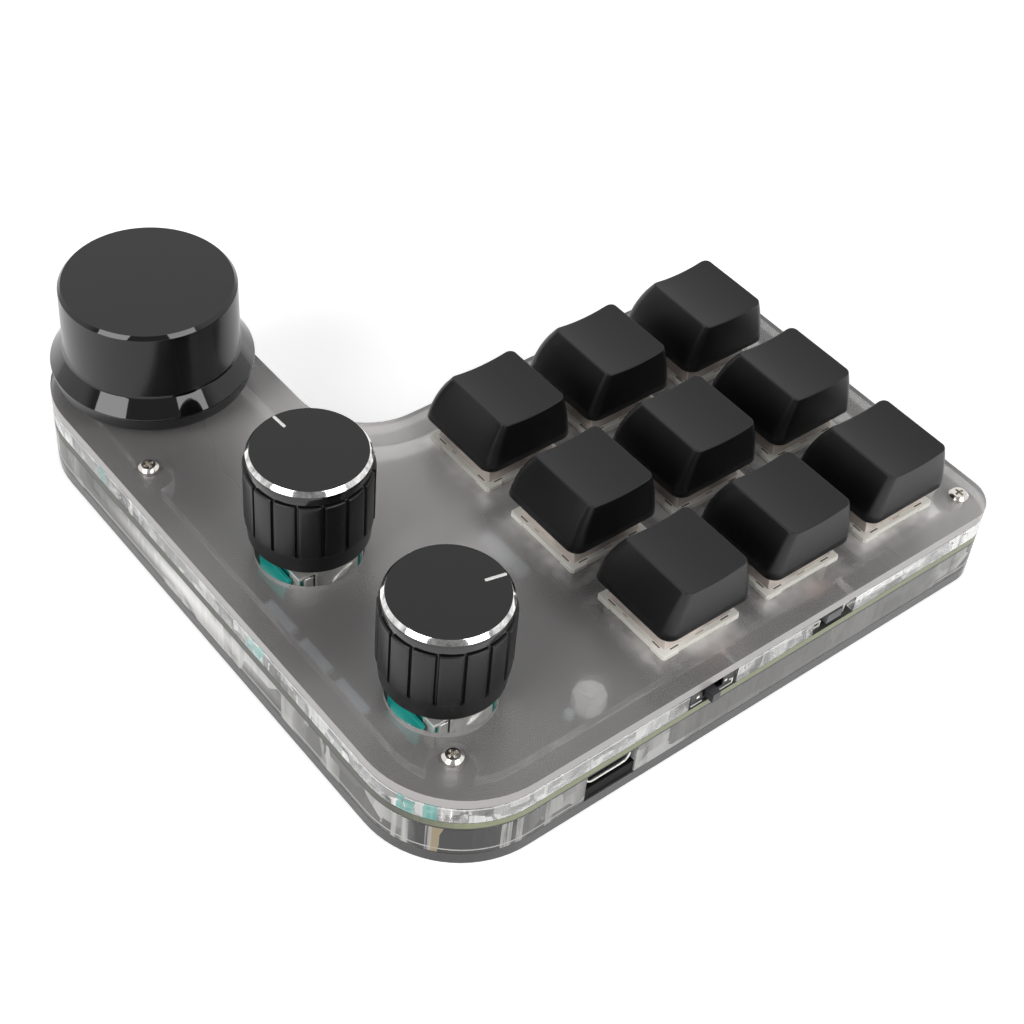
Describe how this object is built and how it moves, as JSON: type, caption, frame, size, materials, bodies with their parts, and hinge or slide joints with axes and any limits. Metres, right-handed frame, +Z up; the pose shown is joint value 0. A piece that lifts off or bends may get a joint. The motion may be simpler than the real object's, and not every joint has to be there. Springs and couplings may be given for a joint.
{
  "type": "macro keypad with knobs",
  "caption": "Layered acrylic desk keypad: a square block of keys, with turning and pushing knobs along an arm that ends in one large knob, and a USB socket and small switches on one edge.",
  "frame": {"origin": "on the resting plane, under the centre of the overall box", "axes": "+Z up; the edge with the USB socket and the switches faces -Y; the knobs stand along the -X side, the large one at the +Y end"},
  "size_m": [0.1182, 0.1238, 0.038],
  "materials": {
    "frosted_plate": "frosted translucent acrylic",
    "clear_acrylic": "clear polished acrylic",
    "smoky_acrylic": "smoky polished acrylic",
    "board": "solder-masked glass-fibre board",
    "nickel": "nickel-plated steel",
    "brass": "turned brass",
    "rubber": "matt",
    "black_plastic": "moulded",
    "grey_plastic": "moulded",
    "switch_steel": "stamped sheet",
    "clear_housing": "clear moulded plastic",
    "stem_plastic": "moulded",
    "cap_plastic": "fine-grained moulded plastic",
    "spring_steel": "drawn wire",
    "teal_plastic": "moulded",
    "knob_plastic": "satin moulded plastic",
    "big_knob_metal": "black anodised with a polished skirt",
    "knob_cap_black": "black with a spun face",
    "white_plastic": "moulded",
    "blue_grey_plastic": "moulded"
  },
  "bodies": {
    "case": {"top_plate": "frosted_plate", "upper_frame": "clear_acrylic", "circuit_board": "board", "lower_frame": "clear_acrylic", "bottom_plate": "smoky_acrylic", "top_screws": "nickel", "standoffs": "brass", "bottom_screws": "nickel", "feet": "rubber", "usb_shell": "nickel", "usb_tongue": "black_plastic", "slide_switch_case": "black_plastic", "side_button_case": "switch_steel", "switch_bottoms": "clear_housing", "switch_tops": "clear_housing", "encoder_bases": "teal_plastic", "encoder_cases": "switch_steel", "controller_chip": "black_plastic", "white_socket": "white_plastic", "board_parts": "blue_grey_plastic", "spring_1": "spring_steel", "spring_2": "spring_steel", "spring_3": "spring_steel", "spring_4": "spring_steel", "spring_5": "spring_steel", "spring_6": "spring_steel", "spring_7": "spring_steel", "spring_8": "spring_steel", "spring_9": "spring_steel"},
    "key_1": {"keycap_1": "cap_plastic", "stem_1": "stem_plastic"},
    "key_2": {"keycap_2": "cap_plastic", "stem_2": "stem_plastic"},
    "key_3": {"keycap_3": "cap_plastic", "stem_3": "stem_plastic"},
    "key_4": {"keycap_4": "cap_plastic", "stem_4": "stem_plastic"},
    "key_5": {"keycap_5": "cap_plastic", "stem_5": "stem_plastic"},
    "key_6": {"keycap_6": "cap_plastic", "stem_6": "stem_plastic"},
    "key_7": {"keycap_7": "cap_plastic", "stem_7": "stem_plastic"},
    "key_8": {"keycap_8": "cap_plastic", "stem_8": "stem_plastic"},
    "key_9": {"keycap_9": "cap_plastic", "stem_9": "stem_plastic"},
    "front_rotor": {"rotor_1": "black_plastic"},
    "front_knob_body": {"shaft_1": "switch_steel", "front_knob": "knob_plastic", "front_knob_cap": "knob_cap_black"},
    "middle_rotor": {"rotor_2": "black_plastic"},
    "middle_knob_body": {"shaft_2": "switch_steel", "middle_knob": "knob_plastic", "middle_knob_cap": "knob_cap_black"},
    "big_rotor": {"rotor_3": "black_plastic"},
    "big_knob_body": {"shaft_3": "switch_steel", "big_knob": "big_knob_metal"},
    "slide_lever": {"slide_switch_lever": "black_plastic"},
    "side_plunger": {"side_button_plunger": "grey_plastic"}
  },
  "joints": [
    {"name": "key_1_press", "type": "slide", "parent": "case", "child": "key_1", "axis": [0, 0, -1], "range_m": [0, 0.004], "stiffness_N_per_m": 80, "springref_m": -0.004, "deforming": ["spring_1"]},
    {"name": "key_2_press", "type": "slide", "parent": "case", "child": "key_2", "axis": [0, 0, -1], "range_m": [0, 0.004], "stiffness_N_per_m": 80, "springref_m": -0.004, "deforming": ["spring_2"]},
    {"name": "key_3_press", "type": "slide", "parent": "case", "child": "key_3", "axis": [0, 0, -1], "range_m": [0, 0.004], "stiffness_N_per_m": 80, "springref_m": -0.004, "deforming": ["spring_3"]},
    {"name": "key_4_press", "type": "slide", "parent": "case", "child": "key_4", "axis": [0, 0, -1], "range_m": [0, 0.004], "stiffness_N_per_m": 80, "springref_m": -0.004, "deforming": ["spring_4"]},
    {"name": "key_5_press", "type": "slide", "parent": "case", "child": "key_5", "axis": [0, 0, -1], "range_m": [0, 0.004], "stiffness_N_per_m": 80, "springref_m": -0.004, "deforming": ["spring_5"]},
    {"name": "key_6_press", "type": "slide", "parent": "case", "child": "key_6", "axis": [0, 0, -1], "range_m": [0, 0.004], "stiffness_N_per_m": 80, "springref_m": -0.004, "deforming": ["spring_6"]},
    {"name": "key_7_press", "type": "slide", "parent": "case", "child": "key_7", "axis": [0, 0, -1], "range_m": [0, 0.004], "stiffness_N_per_m": 80, "springref_m": -0.004, "deforming": ["spring_7"]},
    {"name": "key_8_press", "type": "slide", "parent": "case", "child": "key_8", "axis": [0, 0, -1], "range_m": [0, 0.004], "stiffness_N_per_m": 80, "springref_m": -0.004, "deforming": ["spring_8"]},
    {"name": "key_9_press", "type": "slide", "parent": "case", "child": "key_9", "axis": [0, 0, -1], "range_m": [0, 0.004], "stiffness_N_per_m": 80, "springref_m": -0.004, "deforming": ["spring_9"]},
    {"name": "front_knob_turn", "type": "hinge", "parent": "case", "child": "front_rotor", "pos_m": [-0.0419, -0.0383, 0.0165], "axis": [0, 0, 1], "continuous": true},
    {"name": "front_knob_push", "type": "slide", "parent": "front_rotor", "child": "front_knob_body", "axis": [0, 0, -1], "range_m": [0, 0.0005], "stiffness_N_per_m": 3000, "springref_m": -0.001},
    {"name": "middle_knob_turn", "type": "hinge", "parent": "case", "child": "middle_rotor", "pos_m": [-0.0419, -0.0032, 0.0165], "axis": [0, 0, 1], "continuous": true},
    {"name": "middle_knob_push", "type": "slide", "parent": "middle_rotor", "child": "middle_knob_body", "axis": [0, 0, -1], "range_m": [0, 0.0005], "stiffness_N_per_m": 3000, "springref_m": -0.001},
    {"name": "big_knob_turn", "type": "hinge", "parent": "case", "child": "big_rotor", "pos_m": [-0.0415, 0.0443, 0.0165], "axis": [0, 0, 1], "continuous": true},
    {"name": "big_knob_push", "type": "slide", "parent": "big_rotor", "child": "big_knob_body", "axis": [0, 0, -1], "range_m": [0, 0.0005], "stiffness_N_per_m": 3000, "springref_m": -0.001},
    {"name": "slide_switch", "type": "slide", "parent": "case", "child": "slide_lever", "axis": [1, 0, 0], "range_m": [0, 0.002]},
    {"name": "side_button_press", "type": "slide", "parent": "case", "child": "side_plunger", "axis": [0, 1, 0], "range_m": [0, 0.0005], "stiffness_N_per_m": 1000, "springref_m": -0.001}
  ]
}
